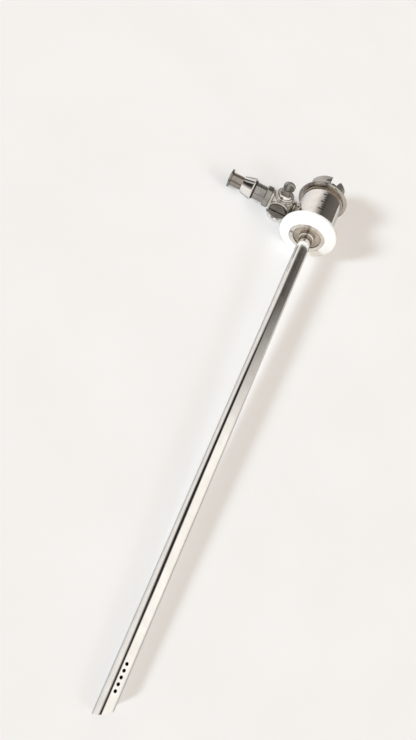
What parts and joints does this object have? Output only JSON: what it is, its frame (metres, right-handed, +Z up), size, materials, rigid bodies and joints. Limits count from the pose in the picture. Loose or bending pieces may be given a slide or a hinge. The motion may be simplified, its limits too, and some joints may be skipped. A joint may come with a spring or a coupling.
{
  "type": "arthroscope sheath",
  "caption": "Arthroscope sheath: a beveled steel tube on a bayonet hub with a white disc and a turning barrel that carries a stopcock with a luer port.",
  "frame": {"origin": "on the sheath's axis, in the plane of the bayonet crown's rear edge, where the scope goes in", "axes": "+X along the sheath's axis towards the tip, +Z up, the stopcock on the -Y side"},
  "size_m": [0.1918, 0.0469, 0.023],
  "materials": {
    "polished_steel": "polished",
    "satin_steel": "satin",
    "dark_steel": "polished",
    "spring_steel": "drawn wire",
    "white_plastic": "satin",
    "black_rubber": "matt"
  },
  "bodies": {
    "sheath": {"sheath_tube": "polished_steel", "tube_ferrule": "polished_steel", "hub_core": "polished_steel", "rear_hub_seal": "black_rubber", "front_hub_seal": "black_rubber", "scope_seal": "black_rubber", "slide_washer": "white_plastic", "nose_disc": "white_plastic", "nose_nut": "polished_steel", "nut_lock_pin": "satin_steel", "lock_spring": "spring_steel", "lock_stop_pin": "satin_steel", "crown_clip_ring": "spring_steel"},
    "lock_ring": {"turning_ring": "polished_steel", "bayonet_crown": "satin_steel"},
    "barrel": {"barrel": "polished_steel", "stopcock_spud": "polished_steel", "stopcock_body": "polished_steel", "plug_stop_pin": "satin_steel", "port_screw": "satin_steel", "port_seal": "white_plastic", "outlet_collar": "dark_steel", "outlet_sleeve": "dark_steel", "union_seal": "black_rubber", "union_nut": "polished_steel", "luer_gasket": "white_plastic", "luer_connector": "polished_steel"},
    "plug": {"stopcock_plug": "polished_steel", "plug_key": "satin_steel", "key_pin": "satin_steel", "tab_washer": "polished_steel", "cone_washer": "spring_steel", "plug_nut": "polished_steel"}
  },
  "joints": [
    {"name": "lock_ring_turn", "type": "hinge", "parent": "sheath", "child": "lock_ring", "pos_m": [0.006, 0, 0], "axis": [1, 0, 0], "range_deg": [0, 16], "stiffness_Nm_per_rad": 0.01, "springref_deg": -17.19},
    {"name": "barrel_turn", "type": "hinge", "parent": "sheath", "child": "barrel", "pos_m": [0.0155, 0, 0], "axis": [1, 0, 0], "continuous": true},
    {"name": "plug_turn", "type": "hinge", "parent": "barrel", "child": "plug", "pos_m": [0.0164, -0.01372, -0.00324], "axis": [0, -0.23, 0.9732], "range_deg": [0, 90]}
  ]
}
